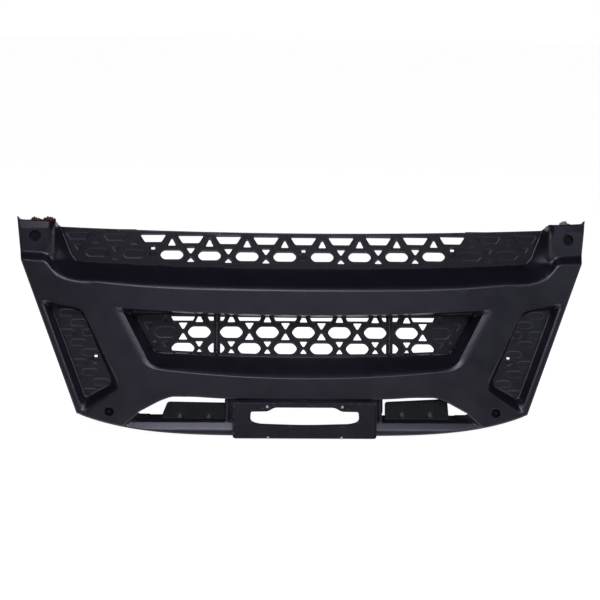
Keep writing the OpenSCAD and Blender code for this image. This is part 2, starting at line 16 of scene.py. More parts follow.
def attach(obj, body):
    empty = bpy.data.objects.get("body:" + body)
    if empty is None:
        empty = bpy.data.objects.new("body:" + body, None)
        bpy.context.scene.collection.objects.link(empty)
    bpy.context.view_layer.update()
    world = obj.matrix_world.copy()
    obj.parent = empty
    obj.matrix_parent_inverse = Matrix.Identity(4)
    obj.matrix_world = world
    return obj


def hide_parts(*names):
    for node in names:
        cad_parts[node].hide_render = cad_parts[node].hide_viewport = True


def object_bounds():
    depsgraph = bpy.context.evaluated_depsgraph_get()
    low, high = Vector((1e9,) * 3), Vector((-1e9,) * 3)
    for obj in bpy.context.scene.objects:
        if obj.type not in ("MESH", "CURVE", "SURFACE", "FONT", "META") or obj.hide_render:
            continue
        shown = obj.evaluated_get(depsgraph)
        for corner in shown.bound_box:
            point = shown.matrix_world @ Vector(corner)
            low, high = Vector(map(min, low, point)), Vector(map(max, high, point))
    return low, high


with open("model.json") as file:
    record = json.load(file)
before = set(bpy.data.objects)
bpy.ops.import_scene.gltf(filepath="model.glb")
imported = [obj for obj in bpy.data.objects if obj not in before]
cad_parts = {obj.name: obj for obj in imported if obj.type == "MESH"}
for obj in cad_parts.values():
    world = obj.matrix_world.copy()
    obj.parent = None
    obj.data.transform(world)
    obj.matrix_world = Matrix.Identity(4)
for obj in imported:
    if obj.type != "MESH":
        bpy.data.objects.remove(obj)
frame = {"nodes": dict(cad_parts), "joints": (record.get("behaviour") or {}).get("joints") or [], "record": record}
cad_box = [list(corner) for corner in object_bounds()]

scene = bpy.context.scene
MM = 0.001
BOW = 5000.0  # radius of the bowed face
LEAN = math.radians(11)
AXIS_Y, AXIS_Z = 182.0, 200.0  # the hinge axis, measured from the panel's own origin
COS, SIN = math.cos(LEAN), math.sin(LEAN)
hinge_at = frame["joints"][0]["pos_m"]
PANEL_Y = hinge_at[1] / MM - AXIS_Y * COS - AXIS_Z * SIN
PANEL_Z = hinge_at[2] / MM + AXIS_Y * SIN - AXIS_Z * COS


# ---- Panel coordinates ----
def lean(x, y, z):
    """Row frame, in metres, of points given by x, y and z along the leaning panel."""
    return np.stack([x, y * COS + z * SIN + PANEL_Y, -y * SIN + z * COS + PANEL_Z], 1) * MM


def bowed(x, d):
    """y of a point at depth d behind the bowed face."""
    return BOW - np.sqrt((BOW - d) ** 2 - x * x)


def place(x, z, d):
    return lean(x, bowed(x, d), z)


def linked(name, data):
    """A new object in the scene."""
    obj = bpy.data.objects.new(name, data)
    scene.collection.objects.link(obj)
    return obj


# ---- Camera ----
YAW, PITCH, ROLL = 0.05448, 0.13963, 0.01476
DISTANCE, AIM_X, AIM_Z = 9.0, -0.016664, -0.000006
LENS, SENSOR, CLIP_END = 149.54, 36, 60


def add_camera():
    cam = linked("camera", bpy.data.cameras.new("camera"))
    cam.data.lens, cam.data.sensor_width, cam.data.clip_end = LENS, SENSOR, CLIP_END
    back = Vector((0, -math.cos(PITCH), math.sin(PITCH)))
    turn = Matrix.Rotation(-YAW, 4, "Z")
    aim = Vector((AIM_X, 0, AIM_Z))
    view = Matrix.Rotation(math.pi / 2 - PITCH, 4, "X") @ Matrix.Rotation(ROLL, 4, "Z")
    shift = Matrix.Translation((0, PANEL_Y * MM, PANEL_Z * MM))
    cam.matrix_world = shift @ turn @ Matrix.Translation(aim + back * DISTANCE) @ view
    scene.camera = cam


add_camera()


# ---- 2D helpers ----
def smooth(t):
    t = np.clip(t, 0, 1)
    return t * t * (3 - 2 * t)


def soft(e, k):
    """max(0, e) with its corner rounded over k on both sides."""
    return np.where(e <= -k, 0, np.where(e >= k, e, (e + k) ** 2 / (4 * k)))


def soft_step(e, height, k_start, k_end):
    """Ramp from 0 to height with both corners rounded."""
    return height - soft(height - soft(e, k_start), k_end)


def round_over(edge, radius):
    """Depth that rounds an edge off, at these distances inward from it."""
    short = radius - np.maximum(edge, 0)
    return np.where(edge < radius, radius - np.sqrt(np.maximum(radius ** 2 - short ** 2, 0)), 0)


def signed(points, loop):
    """Distance to a closed loop, negative inside it."""
    at_once = 8000
    out = np.empty(len(points))
    a, b = loop, np.roll(loop, -1, 0)
    ab = b - a
    length = np.maximum((ab * ab).sum(1), 1e-12)
    rise = np.where(np.abs(ab[:, 1]) < 1e-12, 1e-12, ab[:, 1])
    for i in range(0, len(points), at_once):
        p = points[i:i + at_once]
        ap = p[:, None] - a[None]
        t = np.clip((ap * ab).sum(2) / length, 0, 1)
        near = ap - t[..., None] * ab
        dist = np.sqrt((near * near).sum(2).min(1))
        spans = (a[:, 1] > p[:, None, 1]) != (b[:, 1] > p[:, None, 1])
        left = p[:, None, 0] < ab[:, 0] * (p[:, None, 1] - a[:, 1]) / rise + a[:, 0]
        inside = (spans & left).sum(1) % 2 == 1
        out[i:i + at_once] = np.where(inside, -dist, dist)
    return out


def rounded(corners, radii, closed=True, n=6):
    """Polyline through the corners, each cut back by its radius and rounded."""
    corners = np.array(corners, float)
    count = len(corners)
    radii = [radii] * count if np.isscalar(radii) else list(radii)
    out = []
    for i, v in enumerate(corners):
        if radii[i] <= 0 or (not closed and i in (0, count - 1)):
            out.append(v)
            continue
        u, w = corners[i - 1] - v, corners[(i + 1) % count] - v
        r = min(radii[i], 0.48 * np.linalg.norm(u), 0.48 * np.linalg.norm(w))
        p, q = v + u / np.linalg.norm(u) * r, v + w / np.linalg.norm(w) * r
        for t in np.linspace(0, 1, n):
            out.append((1 - t) ** 2 * p + 2 * t * (1 - t) * v + t * t * q)
    return np.array(out)


def resampled(line, step, closed=True):
    """The line with points added so that none of its pieces is longer than step."""
    ends = np.roll(line, -1, 0) if closed else line[1:]
    out = []
    for a, b in zip(line if closed else line[:-1], ends):
        n = max(1, int(math.ceil(np.linalg.norm(b - a) / step)))
        out += [a + (b - a) * k / n for k in range(n)]
    if not closed:
        out.append(line[-1])
    return np.array(out)


def offsets(line, distances, closed=False, step=5.0):
    """Points beside a line, at each signed distance to its left."""
    line = resampled(line, step, closed)
    if closed:
        way = np.roll(line, -1, 0) - np.roll(line, 1, 0)
    else:
        way = np.gradient(line, axis=0)
    way /= np.maximum(np.linalg.norm(way, axis=1), 1e-9)[:, None]
    normal = np.stack([-way[:, 1], way[:, 0]], 1)
    return np.concatenate([line + normal * d for d in distances])


def ring(x, z, radii, count):
    """Circles of count points, one for each radius."""
    a = np.linspace(0, 2 * math.pi, count, endpoint=False)
    return [np.stack([x + r * np.cos(a), z + r * np.sin(a)], 1) for r in radii]


def both(distances):
    """Every distance with both signs."""
    return [s * v for v in distances for s in (-1, 1)]


def thinned(points, gap, keep):
    """Points that are at least gap from each other and from every point of keep."""
    cells = {}

    def cell(p):
        return int(p[0] // gap), int(p[1] // gap)

    def near(p):
        i, j = cell(p)
        for u in (i - 1, i, i + 1):
            for v in (j - 1, j, j + 1):
                for q in cells.get((u, v), ()):
                    if (p[0] - q[0]) ** 2 + (p[1] - q[1]) ** 2 < gap * gap:
                        return True
        return False

    for p in keep.tolist():
        cells.setdefault(cell(p), []).append(p)
    out = []
    for p in points.tolist():
        if not near(p):
            cells.setdefault(cell(p), []).append(p)
            out.append(p)
    return np.array(out).reshape(-1, 2)


def quadtree(depth, low, high, size, smallest, tolerance):
    """Grid corners, finer where the depth is less flat."""
    xs, zs = np.meshgrid(np.arange(low[0], high[0], size), np.arange(low[1], high[1], size))
    cells = np.stack([xs.ravel(), zs.ravel()], 1)
    corners = np.array([[0, 0], [1, 0], [0, 1], [1, 1]])
    side = 5  # samples along each side of a cell
    grid = np.linspace(0, 1, side)
    u, v = (g.ravel() for g in np.meshgrid(grid, grid))
    out = []
    while len(cells):
        samples = cells[:, None] + np.stack([u, v], 1)[None] * size
        value = depth(samples.reshape(-1, 2)).reshape(-1, side * side)
        c00, c10, c01, c11 = (value[:, [k]] for k in (0, side - 1, -side, -1))
        flat = (c00 * (1 - u) + c10 * u) * (1 - v) + (c01 * (1 - u) + c11 * u) * v
        rough = np.abs(value - flat).max(1) > tolerance
        if size / 2 < smallest:
            rough[:] = False
        out.append((cells[~rough][:, None] + corners * size).reshape(-1, 2))
        size /= 2
        cells = (cells[rough][:, None] + corners * size).reshape(-1, 2)
    return np.unique(np.round(np.concatenate(out), 3), axis=0)


class Sheet:
    """A sheet of moulding: vertices in panel coordinates (x, z, d) and its triangles.

    Points on the outline and the holes are step apart. Points of the bands keep gap between
    them, and a quadtree of cells fills the rest. With half set, the left side is mirrored.
    """
    BAND_MARGIN, GRID_MARGIN, GRID_GAP = 0.6, 1.5, 2.4
    SMALLEST_AREA, AXIS = 1e-4, 1e-4

    def __init__(self, outline, holes, depth, bands, cell=28, smallest=3.4, tolerance=0.2,
                 half=False, step=5.0, gap=1.3):
        loops = [resampled(np.array(outline, float), step)]
        loops += [resampled(np.array(h, float), step) for h in holes]
        points, edges = [], []
        for loop in loops:
            index = np.arange(len(loop)) + sum(map(len, points))
            points.append(loop)
            for a, b in zip(index, np.roll(index, -1)):
                edges.append((int(a), int(b)))
        fixed = np.concatenate(points)
        if half:
            keep = fixed[:, 0] >= -1e-6
            renumber = np.cumsum(keep) - 1
            edges = [(int(renumber[a]), int(renumber[b])) for a, b in edges if keep[a] and keep[b]]
            fixed = fixed[keep]
        low, high = fixed.min(0), fixed.max(0)
        grid = quadtree(depth, low, high, cell, smallest, tolerance)
        bands = np.concatenate(bands)

        def allowed(p, margin):
            ok = signed(p, loops[0]) < -margin
            for h in loops[1:]:
                ok &= signed(p, h) > margin
            if half:
                ok &= p[:, 0] > margin
            return p[ok]

        inner = thinned(allowed(bands, self.BAND_MARGIN), gap, fixed)
        spread = thinned(allowed(grid, self.GRID_MARGIN), self.GRID_GAP, np.concatenate([fixed, inner]))
        every = [Vector(p) for p in np.concatenate([fixed, inner, spread]).tolist()]
        verts, _, faces, _, _, _ = delaunay_2d_cdt(every, edges, [], 0, 1e-5)
        flat = np.array([tuple(v) for v in verts])
        tris = np.array([f[:] for f in faces if len(f) == 3])
        middle = flat[tris].mean(1)
        keep = signed(middle, loops[0]) < 0
        for h in loops[1:]:
            keep &= signed(middle, h) > 0
        if half:
            keep &= middle[:, 0] > 0
        corner = flat[tris]
        area = np.cross(corner[:, 1] - corner[:, 0], corner[:, 2] - corner[:, 0])
        keep &= np.abs(area) > self.SMALLEST_AREA
        tris = tris[keep]
        used = np.unique(tris)
        renumber = np.full(len(flat), -1)
        renumber[used] = np.arange(len(used))
        self.flat, self.tris = flat[used], renumber[tris]
        # turned so that the normals face the front, -Y
        corner = self.flat[self.tris]
        turn = np.cross(corner[:, 1] - corner[:, 0], corner[:, 2] - corner[:, 0])
        self.tris[turn < 0] = self.tris[turn < 0][:, ::-1]
        self.d = depth(self.flat)
        if half:
            self.mirror()

    def mirror(self):
        n = len(self.flat)
        axis = np.abs(self.flat[:, 0]) < self.AXIS
        self.flat[axis, 0] = 0
        other = np.arange(n)
        other[~axis] = n + np.arange((~axis).sum())
        self.tris = np.concatenate([self.tris, other[self.tris][:, ::-1]])
        self.flat = np.concatenate([self.flat, self.flat[~axis] * [-1, 1]])
        self.d = np.concatenate([self.d, self.d[~axis]])

    def flipped(self):
        self.flat = self.flat * [-1, 1]
        self.tris = self.tris[:, ::-1]
        return self

    def build(self, name, thickness, flange=None, where=place, sharp=38):
        """Mesh object of the sheet; flange gives how far its boundary points are carried back."""
        x, z, d = self.flat[:, 0], self.flat[:, 1], self.d
        verts, faces = where(x, z, d), self.tris.tolist()
        if flange is not None:
            pairs = {}
            for t in faces:
                for a, b in ((t[0], t[1]), (t[1], t[2]), (t[2], t[0])):
                    key = (min(a, b), max(a, b))
                    pairs[key] = None if key in pairs else (a, b)
            rim = [p for p in pairs.values() if p is not None]
            reach = flange(self.flat, d)
            rows = [0.35, 1.0]  # shares of the reach
            wanted = sorted({i for p in rim for i in p if reach[i] > 0.01})
            base = len(verts)
            index = {v: base + k for k, v in enumerate(wanted)}
            ids = np.array(wanted, int)
            for r in rows:
                verts = np.concatenate([verts, where(x[ids], z[ids], d[ids] + reach[ids] * r)])
            for a, b in rim:
                if a in index and b in index:
                    prior = (a, b)
                    for k in range(len(rows)):
                        here = (index[a] + k * len(wanted), index[b] + k * len(wanted))
                        faces.append([prior[1], prior[0], here[0], here[1]])
                        prior = here
        mesh = bpy.data.meshes.new(name)
        mesh.from_pydata(verts.tolist(), [], faces)
        mesh.validate()
        obj = linked(name, mesh)
        solid = obj.modifiers.new("wall", "SOLIDIFY")
        solid.thickness, solid.offset, solid.use_rim = thickness * MM, -1, True
        finish_shape(obj, sharp)
        return obj


def finish_shape(obj, sharp):
    """Applies the modifiers, then shades smooth except along sharp edges."""
    graph = bpy.context.evaluated_depsgraph_get()
    mesh = bpy.data.meshes.new_from_object(obj.evaluated_get(graph))
    obj.modifiers.clear()
    obj.data = mesh
    mesh.shade_smooth()
    mesh.set_sharp_from_angle(angle=math.radians(sharp))
    mesh.name = obj.name


# ---- Shape of the moulding ----
RIDGE = np.array([[0, 31], [140, 32], [280, 33.5], [410, 36], [500, 40], [574, 44], [650, 50.5],
                  [720, 58], [780, 65], [830, 72], [864, 80], [893, 93], [912, 112], [929, 134],
                  [948, 141], [1002, 145], [1060, 150]], float)


def ridge_z(x):
    """The ridge above the broad face, and below the heights of the other long edges."""
    return np.interp(np.abs(x), RIDGE[:, 0], RIDGE[:, 1])


def top_z(x):
    return 248 + 24 * (x / 887) ** 2


def upper_low_z(x):
    return 116 + 26 * (x / 820) ** 2


def bottom_z(x):
    return -490 + 78 * (np.abs(x) / 820) ** 4.2


def recess_top_z(x):
    return -54 + 24 * (x / 682) ** 2


def recess_low_z(x):
    return -285 + 32 * (x / 538) ** 2


def lower_low_z(x):
    return -204 + 16 * (x / 538) ** 2


def along(function, start, end, n, lift=0.0):
    x = np.linspace(start, end, n)
    return np.stack([x, function(x) + lift], 1)


UPPER_D, LOWER_D, SIDE_D, WALL = 85.0, 65.0, 35.0, 3.2  # depths of the inserts, and the wall
SEAT = 3.0  # from the front of an insert to the floor that it lies on
BLOCK_D, BLOCK_RISE = 24.0, 31  # set-back of the corner blocks, and the height that it takes
LIP_D, LIP_LOW, LIP_RISE = 31.0, 263, 27  # the lip above them
FAR = -80  # how far the recess outlines run past the middle
bottom = along(bottom_z, 0, 820, 40)
block_top = np.array([[1020, 295.5], [990, 293.5], [950, 291.5], [906, 290]], float)
outline = np.concatenate([
    bottom[:-1], rounded([[812, -413.8], [820, -412], [824, -401]], [0, 7, 0], False),
    [[1028, 145]], rounded([[1043, 288], [1045.5, 308], [1040, 306], [1033, 297.5], [1026, 296]],
                           [0, 2, 3, 5, 0], False),
    block_top[:-1],
    rounded([[925, 290.5], [904, 290], [888, top_z(888)], [874, top_z(874)]], [0, 9, 8, 0], False),
    along(top_z, 860, 0, 34),
])

ridge = RIDGE[:14]
beyond = np.array([[FAR, 31]], float)
front_u = np.concatenate([
    beyond, ridge, rounded([[929, 134], [930, 150], [905, 259], [899, 330]], [0, 10, 30, 0], False)[1:],
    [[899, 420], [FAR, 420]],
])
floor_u = np.concatenate([
    [[FAR, 116]], along(upper_low_z, 0, 780, 14),
    rounded([[800, 141], [824, 143], [846, 166], [893, 275]], [0, 16, 10, 0], False),
    [[905, 420], [FAR, 420]],
])
front_l = np.concatenate([
    along(recess_top_z, FAR, 672, 16),
    rounded([[672, -30.7], [686, -30], [581, -230], [551, -250], [500, -257.5]], [0, 9, 30, 26, 0], False),
    along(recess_low_z, 480, FAR, 12),
])
bevel_l = np.concatenate([
    along(recess_top_z, FAR, 640, 16, -1.2),
    rounded([[650, -33.4], [660, -34], [560, -226], [534, -243], [490, -250]], [0, 8, 26, 22, 0], False),
    along(recess_low_z, 470, FAR, 12, 9),
])
floor_l = np.concatenate([
    along(recess_top_z, FAR, 600, 16, -3.6),
    rounded([[612, -38.3], [622, -38.5], [551, -176], [530, -190], [480, -193.3]], [0, 8, 18, 14, 0], False),
    along(lower_low_z, 460, FAR, 12),
])
front_s = rounded([[946, -7], [832, -26], [803, -37], [674, -296], [676, -322], [786, -396], [799, -397]],
                  [12, 20, 20, 22, 20, 10, 6])
floor_s = rounded([[921, -13], [820, -28], [797, -46], [689, -291], [693, -308], [776, -352], [792, -352]],
                  [8, 14, 14, 16, 14, 6, 6])
CUPS = [(978, 235, 17.0), (702, -405, 13.5)]  # recessed holes: x, z, radius
CUP_DEEP, CUP_SLOPE = 18.0, 9

# the bar below the step openings: its edges, the slopes of its two faces, and its outer end
BAR_LOW, BAR_EDGE, BAR_TOP, BAR_DEEP = -470.0, -441.0, -413.5, 56
CHAMFER, SHELF, WEDGE_SLOPE = 0.48, 1.5, 1.6
WEDGE = np.array([[596, -408], [662, -464]], float)
# the sunk web behind the number plate bracket, with a pillar at each end
PILLAR_IN, PILLAR_OUT, WEB_TOP = 268.0, 285.0, -357.0
WEB_D, PILLAR_D, WEB_RUN = 20.0, 15.0, 4
opening = np.concatenate([
    [[PILLAR_OUT, WEB_TOP]],
    along(lambda x: WEB_TOP + 6 * smooth((x - PILLAR_OUT) / 130), 300, 440, 6),
    rounded([[455, -351], [478, -351], [518, -365], [598, -407.5], [590, BAR_TOP], [560, BAR_TOP]],
            [0, 16, 30, 4, 5, 0], False),
    [[PILLAR_OUT, BAR_TOP]],
])
web_hole = rounded([[-212, -456], [212, -456], [212, -384], [-212, -384]], 9)
upper_hole = np.concatenate([along(upper_low_z, -605, 605, 31, 10), along(top_z, 605, -605, 31, -10)])
lower_hole = np.concatenate([along(lower_low_z, -500, 500, 21, 10), [[500, -58], [0, -62], [-500, -58]]])
SIDE_SCREW = (752, -217)
EDGE_R, OPENING_R = 5, 4  # rounding of the outline and of the step openings
HIDDEN_D, OPENING_DEEP = 60, 40  # deeper than this, an edge stays square
OUTLINE_RETURN, OPENING_RETURN = 17.0, 12.0  # how far these edges are turned back
ON_LOOP = 0.5  # a point this close to a loop belongs to it
side_slot = rounded([[746, -207], [758, -207], [758, -200], [746, -200]], 3)


def creased(e, height, k, c):
    """Ramp from 0 to height that starts at a crease with the share c of its slope, rounded over k."""
    e = e * (1 + k * (1 - c) ** 2 / height)
    return np.maximum(soft(e + (2 * c - 1) * k, k) - c * c * k, 0)


def step_between(front, floor, height, r_front, r_floor):
    """Depth that goes from 0 at a front loop to height at a floor loop, by the distances to both."""
    width = np.maximum(floor - front, 1.5)
    slope = height / width
    k_front = np.clip(0.5 * r_front * slope, 0.5, 0.4 * height)
    k_floor = np.clip(0.5 * r_floor * slope, 0.5, 0.4 * height)
    return soft_step(height * -front / width, height, k_front, k_floor)


def lower_recess(p):
    """Depth of the lower recess.

    Its side walls have a shallow bevel in front. Its shelf starts at a crease and curves in.
    """
    height, bevel_height = LOWER_D + SEAT, 8
    shelf_top, shelf_run = -205, 45
    front, bevel, floor = signed(p, front_l), signed(p, bevel_l), signed(p, floor_l)
    first = -front / np.maximum(bevel - front, 1.0)
    second = -bevel / np.maximum(floor - bevel, 1.5)
    e = bevel_height * np.minimum(first, 1) + (height - bevel_height) * np.maximum(second, 0)
    shelf = smooth((shelf_top - p[:, 1]) / shelf_run)
    sides = soft(e, 3.5)
    e = sides + shelf * (creased(e, height, k=24, c=0.58) - sides)
    return height - soft(height - e, 4)


def bar_and_web(x, z):
    """Depth of the bar below the step openings, and of the web between them."""
    way = (WEDGE[1] - WEDGE[0]) / np.linalg.norm(WEDGE[1] - WEDGE[0])
    inward = (x - WEDGE[0, 0]) * way[1] - (z - WEDGE[0, 1]) * way[0]
    bar = soft((z - BAR_LOW) * CHAMFER, 3.2) + soft((z - BAR_EDGE) * (SHELF - CHAMFER), 1.6)
    bar = np.minimum(np.minimum(bar, BAR_DEEP), soft(inward * WEDGE_SLOPE, 3))
    web = WEB_D - (WEB_D - PILLAR_D) * soft_step((x - PILLAR_IN) / WEB_RUN, 1, 0.15, 0.15)
    web = web * soft_step((WEB_TOP - z) / WEB_RUN, 1, 0.2, 0.2)
    web = np.where(z < BAR_EDGE + 8, np.minimum(web, bar), web)
    side = np.clip((x - PILLAR_OUT + 1.5) / 2.5, 0, 1)
    low = np.where(z < BAR_TOP + 6, bar, 0)
    return np.where(z < WEB_TOP + 3, (1 - side) * web + side * low, 0)


def corner_block(p, front):
    """Depth of the corner blocks behind the face, with the lip above them."""
    x, z = p[:, 0], p[:, 1]
    outer = soft_step((z - ridge_z(x)) / BLOCK_RISE * BLOCK_D, BLOCK_D, 5, 5) * smooth((x - 884) / 44)
    inner = BLOCK_D * smooth((z - 112) / 60) * smooth((x - 820) / 90)
    share = smooth(-front / 28)
    block = outer * (1 - share) + inner * share
    lip = LIP_D - BLOCK_D
    return block + soft_step((z - LIP_LOW) / LIP_RISE * lip, lip, 1.5, 2) * (x > 880)


def panel_depth(p):
    p = np.stack([np.abs(p[:, 0]), p[:, 1]], 1)
    x, z = p[:, 0], p[:, 1]
    front, floor = signed(p, front_u), signed(p, floor_u)
    base = corner_block(p, front)
    # the upper recess, whose ledge starts at a crease away from the corners
    drop = UPPER_D + SEAT - base
    recess = step_between(front, floor, drop, r_front=24, r_floor=5)
    ledge = creased(drop * -front / np.maximum(floor - front, 1.5), drop, k=20, c=0.25)
    ledge = drop - soft(drop - ledge, 3)
    ledge_end, fade = 740, 80
    d = base + recess + (ledge - recess) * (1 - smooth((x - ledge_end) / fade)) * (z < 200)
    d += lower_recess(p)
    d += step_between(signed(p, front_s), signed(p, floor_s), SIDE_D + SEAT, r_front=34, r_floor=14)
    for cx, cz, radius in CUPS:
        r = np.hypot(x - cx, z - cz)
        d += soft_step((radius + 1.5 - r) * CUP_SLOPE, CUP_DEEP, 4, 3)
    d += bar_and_web(x, z)
    # rounded edges along the outline and the step openings
    d += np.where(d < HIDDEN_D, round_over(-signed(p, outline_loop), EDGE_R), 0)
    near = (z > BAR_TOP + 4) & (d < OPENING_DEEP)
    return d + np.where(near, round_over(signed(p, opening), OPENING_R), 0)


outline_loop = np.concatenate([outline, outline[::-1] * [-1, 1]])


def segment(*ends):
    return np.array(ends, float)


def panel_bands():
    """Rows of points along every edge of the moulding, so that its fillets come out round."""
    fillet = [-9, -6.5, -4, -2, 0, 2, 4, 6.5, 9, 12]
    small = [-3.5, -1.5, 0, 1.5, 3.5]
    tiny = [-2, -0.7, 0.7, 2]
    bands = [
        offsets(RIDGE[:12], fillet), offsets(front_u[14:-2], fillet), offsets(floor_u[1:-2], small),
        offsets(front_l, [-18, -14, -10, -7, -4.5, -2.5, -0.75, 0.75, 2.5, 5, 8, 12, 16, 24, 32]),
        offsets(bevel_l, small), offsets(floor_l, small),
        offsets(front_s, [-16, -11, -7, -4, -1.5, 0, 1.5, 4, 7, 11, 16], True),
        offsets(floor_s, [-7, -4, -1.5, 0, 1.5, 4, 7], True),
        offsets(segment([0, BAR_LOW], [670, BAR_LOW]), [-7, -4, -1.5, 1.5, 4, 7]),
        offsets(segment([0, BAR_EDGE], [640, BAR_EDGE]), small),
        offsets(WEDGE, small), offsets(opening, both((1.3, 2.6, 4.2, 7)), True),
        offsets(segment([0, WEB_TOP], [PILLAR_OUT, WEB_TOP]), [-5, -3.5, -2, 0, 1.2]),
        offsets(segment([PILLAR_OUT, -352], [PILLAR_OUT, -448]), tiny),
        offsets(segment([PILLAR_IN + 2, -352], [PILLAR_IN + 2, -440]), small),
        offsets(outline, [0.8, 2, 3.5, 5.2], step=6),
        offsets(segment([896, LIP_LOW], [1043, LIP_LOW]), small),
        offsets(segment([896, 289], [1043, 289]), tiny),
        offsets(RIDGE[11:] + [0, 2], fillet), offsets(RIDGE[11:] + [0, BLOCK_RISE], fillet),
    ]
    for cx, cz, radius in CUPS:
        bands += ring(cx, cz, (5, 9), 14)
        bands += ring(cx, cz, [radius + v for v in (-3.4, -2.4, -1.4, -0.4, 0.6, 1.6, 3.5)], 36)
    return bands


def panel_flange(flat, d):
    """How far boundary points are carried back: those of the outline and of the step openings."""
    x, z = np.abs(flat[:, 0]), flat[:, 1]
    edge = np.abs(signed(np.stack([x, z], 1), outline_loop)) < ON_LOOP
    rim = np.abs(signed(np.stack([x, z], 1), opening)) < ON_LOOP
    out = np.where(edge & (d < HIDDEN_D), OUTLINE_RETURN, 0.0)
    return np.where(rim & (z > BAR_TOP + 4) & (d < OPENING_DEEP), OPENING_RETURN, out)


def make_panel():
    holes = [opening, web_hole, upper_hole, lower_hole, side_slot]
    sheet = Sheet(outline, holes, panel_depth, panel_bands(), half=True)
    obj = sheet.build("panel_moulding", WALL, panel_flange)
    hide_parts("main_panel")
    return obj


# ---- Mesh inserts ----
UPPER_PITCH, LOWER_PITCH = 137.0, 131.0
SEAM_X, SEAM_BAND, SEAM_GAP = 314.0, 12.5, 0.05
INSERT_T = 2.6
OPEN_HALF = 557.0  # the upper cells further out are closed
UPPER_SCREWS = [(k * UPPER_PITCH, float(top_z(k * UPPER_PITCH)) - 86) for k in (-4, 0, 4)]
LOWER_SCREWS = [(597, -60), (540, -164)]


def shifted(shape, x, z, radius, flip=False):
    """A cell shape moved to x and z, with rounded corners; flip turns it upside down."""
    shape = np.array(shape, float)
    if flip:
        shape = shape * [1, -1]
    return rounded(shape, radius, n=5) + [x, z]


def triangle(w, h):
    return [[-w / 2, -h / 2], [w / 2, -h / 2], [2.5, h / 2], [-2.5, h / 2]]


def hexagon(w, h):
    s = h * 0.42
    return [[-w / 2, 0], [-w / 2 + s, h / 2], [w / 2 - s, h / 2],
            [w / 2, 0], [w / 2 - s, -h / 2], [-w / 2 + s, -h / 2]]


TRAPEZIUM = [[-46, 12.5], [46, 12.5], [30, -12.5], [-30, -12.5]]
SLIT = [[-46, 12], [46, 12], [36, -11], [-36, -11]]
SMALL_SLOT = [[-7, -4], [7, -4], [7, 4], [-7, 4]]


def upper_cells():
    """Open cells in the middle, and shallow closed ones towards the ends."""
    cells, closed = [], []
    for k in range(-6, 7):
        x = k * UPPER_PITCH
        t = top_z(x)
        into = cells if abs(k) < 5 else closed
        into.append(shifted(TRAPEZIUM, x, t - 30, 5))
        if k % 4 == 0 and abs(k) < 5:
            into.append(shifted(SMALL_SLOT, x, t - 66, 3))
        else:
            into.append(shifted(triangle(30, 18), x, t - 71, 4, True))
            into.append(shifted(triangle(27, 12), x, t - 105, 4))
    for k in range(-7, 7):
        x = (k + 0.5) * UPPER_PITCH
        t = top_z(x)
        into = cells if abs(x) < OPEN_HALF else closed
        into.append(shifted(triangle(28, 23), x, t - 42, 4))
        into.append(shifted(hexagon(88, 31), x, t - 88, 9))
    return cells, closed


def column_a(x):
    """A column of lower cells that has one long cell in the middle, and column_b has two."""
    return [shifted(triangle(28, 24), x, -66, 4), shifted(hexagon(88, 40), x, -115, 10),
            shifted(triangle(28, 18), x, -158, 4, True), shifted(triangle(24, 14), x, -185, 4)]


def column_b(x):
    return [shifted(SLIT, x, -62, 4), shifted(triangle(32, 22), x, -92, 4, True),
            shifted(triangle(32, 22), x, -131, 4), shifted(hexagon(88, 38), x, -174, 10)]


def clipped(cell, low, high):
    """The part of a convex cell between two values of x."""
    for side, limit in ((1, low), (-1, high)):
        out = []
        for a, b in zip(cell, np.roll(cell, -1, 0)):
            ia, ib = side * (a[0] - limit) >= 0, side * (b[0] - limit) >= 0
            if ia:
                out.append(a)
            if ia != ib:
                out.append(a + (b - a) * (limit - a[0]) / (b[0] - a[0]))
        cell = np.array(out).reshape(-1, 2)
    return cell


def within(cells, outline, margin=4):
    return [c for c in cells if signed(c, outline).max() < -margin]


def wide(cells):
    return [c for c in cells if len(c) > 2 and np.ptp(c[:, 0]) > 5]


